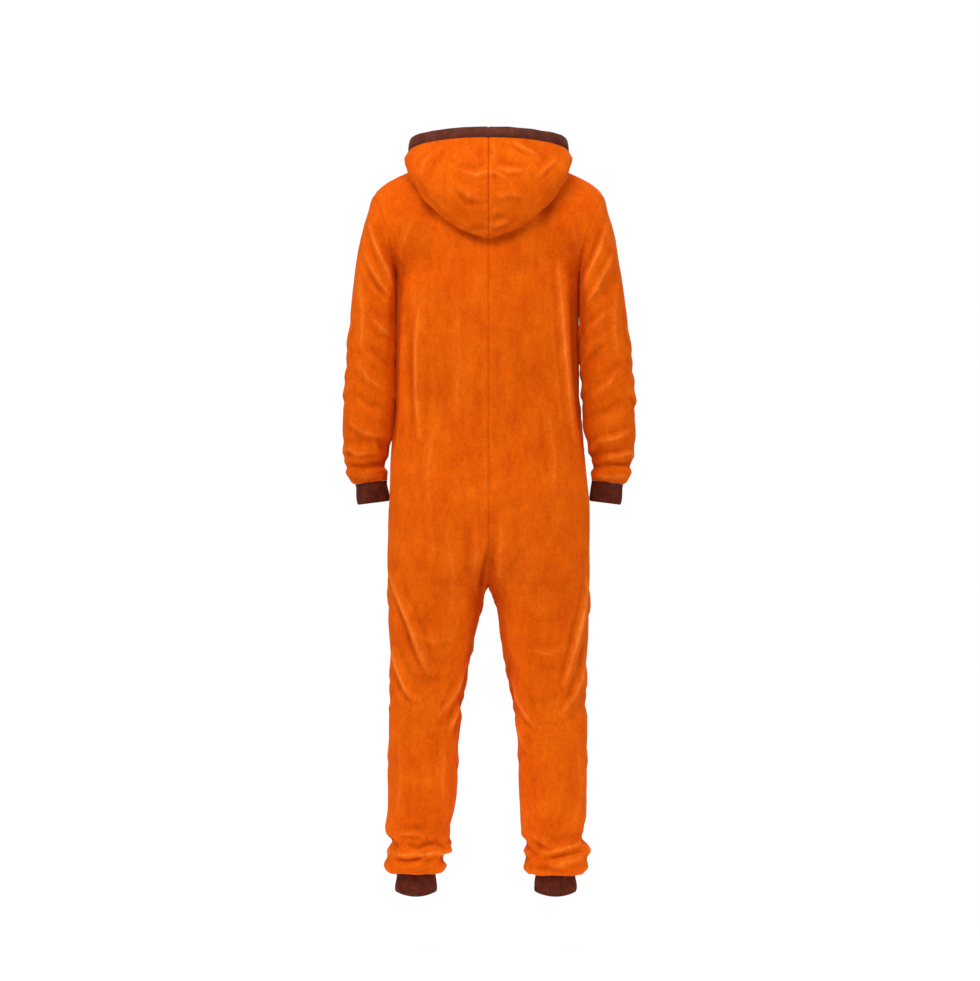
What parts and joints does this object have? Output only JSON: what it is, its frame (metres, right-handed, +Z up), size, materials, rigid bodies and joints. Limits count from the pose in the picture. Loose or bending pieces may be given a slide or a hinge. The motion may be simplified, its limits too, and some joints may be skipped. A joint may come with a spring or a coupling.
{
  "type": "hooded onesie",
  "caption": "Adult hooded onesie in plush fleece, worn form, hood down on the back, rib-knit band and cuffs, centre front zip.",
  "frame": {"origin": "middle of the neck opening at shoulder height, where the garment hangs on its wearer", "axes": "+Z up, the front faces -Y and the pictured back faces +Y, the wearer's left is at +X"},
  "size_m": [0.59, 0.2932, 1.5385],
  "materials": {
    "plush_fleece": "orange short-pile plush fleece, soft nap",
    "rib_knit": "dark brown rib knit",
    "rib_band": "brown folded band",
    "zip_tape": "woven zip tape dyed to match",
    "zip_teeth": "moulded zip teeth",
    "zip_metal": "antique brass plated zinc"
  },
  "bodies": {
    "garment": {"back_left": "plush_fleece", "front_left": "plush_fleece", "sleeve_left": "plush_fleece", "hood_left": "plush_fleece", "hood_band_left": "rib_band", "wrist_cuff_left": "rib_knit", "ankle_cuff_left": "rib_knit", "zip_tape_left": "zip_tape", "back_right": "plush_fleece", "front_right": "plush_fleece", "sleeve_right": "plush_fleece", "hood_right": "plush_fleece", "hood_band_right": "rib_band", "wrist_cuff_right": "rib_knit", "ankle_cuff_right": "rib_knit", "zip_tape_right": "zip_tape", "zip_chain": "zip_teeth", "zip_slider": "zip_metal"},
    "zip_pull": {"zip_pull": "zip_metal"}
  },
  "joints": [
    {"name": "pull_swing", "type": "hinge", "parent": "garment", "child": "zip_pull", "pos_m": [0, -0.10504, -0.0937], "axis": [-1, 0, 0], "range_deg": [0, 150]}
  ]
}
